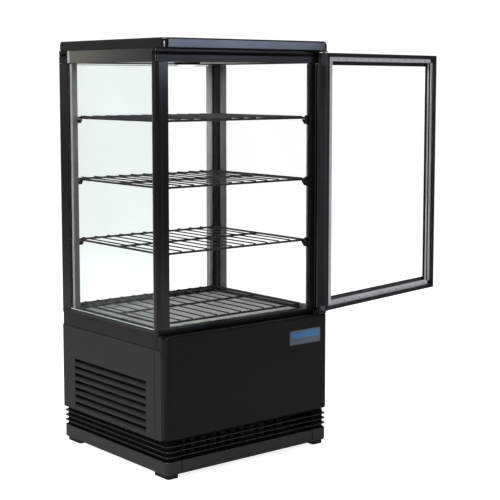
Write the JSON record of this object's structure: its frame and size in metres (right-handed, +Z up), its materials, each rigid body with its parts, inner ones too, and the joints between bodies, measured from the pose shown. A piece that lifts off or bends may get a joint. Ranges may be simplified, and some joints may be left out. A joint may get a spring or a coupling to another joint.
{
  "type": "glass door merchandiser",
  "caption": "Countertop refrigerated display cabinet with insulating glass on all sides, a swing door standing open, wire shelves and a finned machine base.",
  "frame": {"origin": "centre of the base tray's underside, 10 mm above the surface the feet stand on", "axes": "+Z up, -Y out of the front where the door closes, +X towards the door's hinge side"},
  "size_m": [0.8564, 0.4162, 0.88],
  "materials": {
    "black_steel": "black powder coat, fine texture",
    "black_plastic": "black moulded plastic, satin",
    "rubber": "black rubber",
    "white_plastic": "white moulded plastic",
    "aluminium": "mill aluminium",
    "glass": "clear float glass, faint green",
    "copper": "bare copper tube",
    "lens": "opal lamp lens",
    "badge": "plain blue and silver plate",
    "grey_steel": "dark grey painted steel",
    "wire": "black coated wire"
  },
  "bodies": {
    "cabinet": {"base_tray": "black_steel", "foot_fl": "rubber", "foot_fr": "rubber", "foot_bl": "rubber", "foot_br": "rubber", "fin_grille": "black_plastic", "front_panel": "black_plastic", "badge": "badge", "side_panel_left": "black_steel", "side_panel_right": "black_steel", "rear_panel": "black_steel", "thermostat_body": "black_plastic", "power_inlet": "black_plastic", "evaporator_tub": "white_plastic", "deck_plate": "aluminium", "evaporator": "aluminium", "compressor": "grey_steel", "condenser": "aluminium", "cond_fan_frame": "black_plastic", "drip_tray": "black_plastic", "refrigerant_line": "copper", "lower_frame": "black_plastic", "top_frame": "black_plastic", "post_fl": "black_steel", "post_fr": "black_steel", "post_bl": "black_steel", "post_br": "black_steel", "top_cap": "black_plastic", "ceiling_panel": "white_plastic", "lamp_housing": "black_plastic", "lamp_lens": "lens", "left_glass_outer": "glass", "left_glass_inner": "glass", "left_glass_spacer": "aluminium", "right_glass_outer": "glass", "right_glass_inner": "glass", "right_glass_spacer": "aluminium", "back_glass_outer": "glass", "back_glass_inner": "glass", "back_glass_spacer": "aluminium", "hinge_top": "grey_steel", "hinge_bottom": "grey_steel", "shelf_top": "wire", "shelf_middle": "wire", "shelf_lower": "wire", "bottom_rack": "wire"},
    "door": {"door_stile_hinge": "black_plastic", "door_stile_latch": "black_plastic", "door_rail_top": "black_plastic", "door_rail_bottom": "black_plastic", "door_glass_outer": "glass", "door_glass_inner": "glass", "door_spacer": "aluminium", "door_gasket": "rubber"},
    "thermostat_dial": {"thermostat_knob": "black_plastic"},
    "light_switch": {"light_rocker": "black_plastic"},
    "condenser_fan": {"cond_fan_blade": "black_plastic"},
    "evaporator_fan": {"evap_fan_blade": "black_plastic"}
  },
  "joints": [
    {"name": "door_swing", "type": "hinge", "parent": "cabinet", "child": "door", "pos_m": [0.213, -0.184, 0.56], "axis": [0, 0, -1], "range_deg": [0, 190]},
    {"name": "thermostat_turn", "type": "hinge", "parent": "cabinet", "child": "thermostat_dial", "pos_m": [0.112, 0.199, 0.222], "axis": [0, 1, 0], "range_deg": [0, 270]},
    {"name": "light_switch_rock", "type": "hinge", "parent": "cabinet", "child": "light_switch", "pos_m": [0.16, 0.199, 0.222], "axis": [-1, 0, 0], "range_deg": [0, 14]},
    {"name": "condenser_fan_spin", "type": "hinge", "parent": "cabinet", "child": "condenser_fan", "pos_m": [-0.021, -0.1205, 0.082], "axis": [0, 1, 0], "continuous": true},
    {"name": "evaporator_fan_spin", "type": "hinge", "parent": "cabinet", "child": "evaporator_fan", "pos_m": [-0.004, -0.034, 0.232], "axis": [0, 1, 0], "continuous": true}
  ]
}
